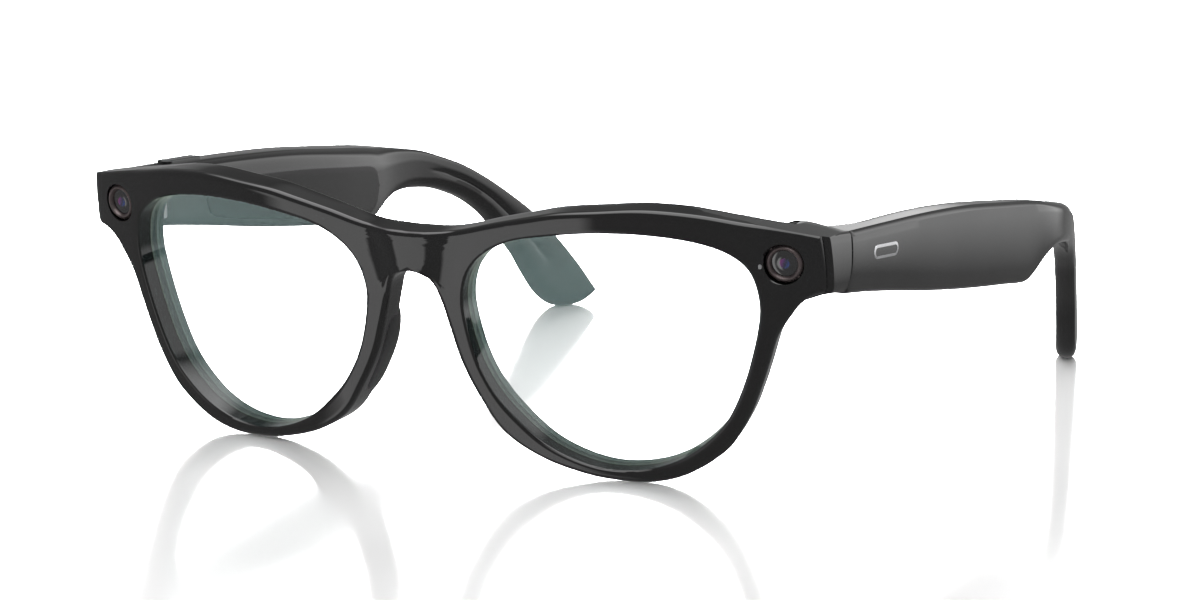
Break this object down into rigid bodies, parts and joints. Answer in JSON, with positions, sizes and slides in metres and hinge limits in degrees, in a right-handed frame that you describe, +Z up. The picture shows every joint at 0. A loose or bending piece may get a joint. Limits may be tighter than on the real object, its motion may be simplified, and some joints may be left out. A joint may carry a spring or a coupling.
{
  "type": "smart glasses",
  "caption": "Camera glasses with a curved moulded front, clear lenses and thick folding temples that bend down behind the ears.",
  "frame": {"origin": "middle of the footprint, on the table that the rims and the temple tips stand on", "axes": "+X towards the wearer's left, +Y back towards the ears, +Z up"},
  "size_m": [0.1432, 0.151, 0.0464],
  "materials": {
    "frame_black": "polished black moulded nylon",
    "pad_black": "satin black moulded pad",
    "lens_clear": "clear plastic lens with a faint green-blue coating",
    "camera_glass": "coated cover glass with a faint purple sheen",
    "trim_metal": "dark coated metal",
    "barrel_black": "black moulded housing",
    "circuit_board": "green solder mask",
    "light_guide": "frosted light guide",
    "contact_gold": "gold plate",
    "flex_film": "amber polyimide film",
    "hinge_steel": "tumbled stainless steel",
    "core_steel": "rolled steel strip",
    "component_steel": "pressed steel can",
    "badge_metal": "polished nickel plate",
    "grille_metal": "black coated mesh",
    "battery_foil": "foil-wrapped cell"
  },
  "bodies": {
    "front": {"front_frame": "frame_black", "brow_cover": "frame_black", "front_flex": "flex_film", "lens_left": "lens_clear", "lens_right": "lens_clear", "nose_pad_left": "pad_black", "nose_pad_right": "pad_black", "camera_bezel_left": "trim_metal", "camera_bezel_right": "trim_metal", "camera_window_left": "camera_glass", "camera_window_right": "camera_glass", "camera_barrel_left": "barrel_black", "camera_barrel_right": "barrel_black", "image_sensor_left": "circuit_board", "image_sensor_right": "circuit_board", "status_light": "light_guide", "charging_contacts": "contact_gold", "bridge_microphone": "component_steel", "hinge_front_leaf_left": "hinge_steel", "hinge_front_leaf_right": "hinge_steel", "hinge_pin_left": "hinge_steel", "hinge_pin_right": "hinge_steel", "hinge_screws": "hinge_steel"},
    "temple_left": {"temple_shell_left": "frame_black", "temple_cover_left": "frame_black", "hinge_temple_leaf_left": "hinge_steel", "temple_core_left": "core_steel", "temple_flex_left": "flex_film", "temple_badge_left": "badge_metal", "speaker_left": "barrel_black", "speaker_grille_left": "grille_metal", "microphone_left": "component_steel", "battery": "battery_foil", "power_switch": "component_steel"},
    "temple_right": {"temple_shell_right": "frame_black", "temple_cover_right": "frame_black", "hinge_temple_leaf_right": "hinge_steel", "temple_core_right": "core_steel", "temple_flex_right": "flex_film", "temple_badge_right": "badge_metal", "speaker_right": "barrel_black", "speaker_grille_right": "grille_metal", "microphone_right": "component_steel", "main_board": "circuit_board", "processor_shield": "component_steel", "touch_sensor": "flex_film", "capture_switch": "component_steel"},
    "capture_button": {"capture_button": "frame_black"},
    "power_slider": {"power_slider": "trim_metal"}
  },
  "joints": [
    {"name": "temple_left_fold", "type": "hinge", "parent": "front", "child": "temple_left", "pos_m": [0.0646, -0.05415, 0.0374], "axis": [0, 0, 1], "range_deg": [0, 84]},
    {"name": "temple_right_fold", "type": "hinge", "parent": "front", "child": "temple_right", "pos_m": [-0.0646, -0.05415, 0.0374], "axis": [0, 0, -1], "range_deg": [0, 64]},
    {"name": "capture_press", "type": "slide", "parent": "temple_right", "child": "capture_button", "axis": [0, 0, -1], "range_m": [0, 0.00035], "stiffness_N_per_m": 600, "springref_m": -0.001},
    {"name": "power_slide", "type": "slide", "parent": "temple_left", "child": "power_slider", "axis": [0, 1, 0], "range_m": [0, 0.002]}
  ]
}
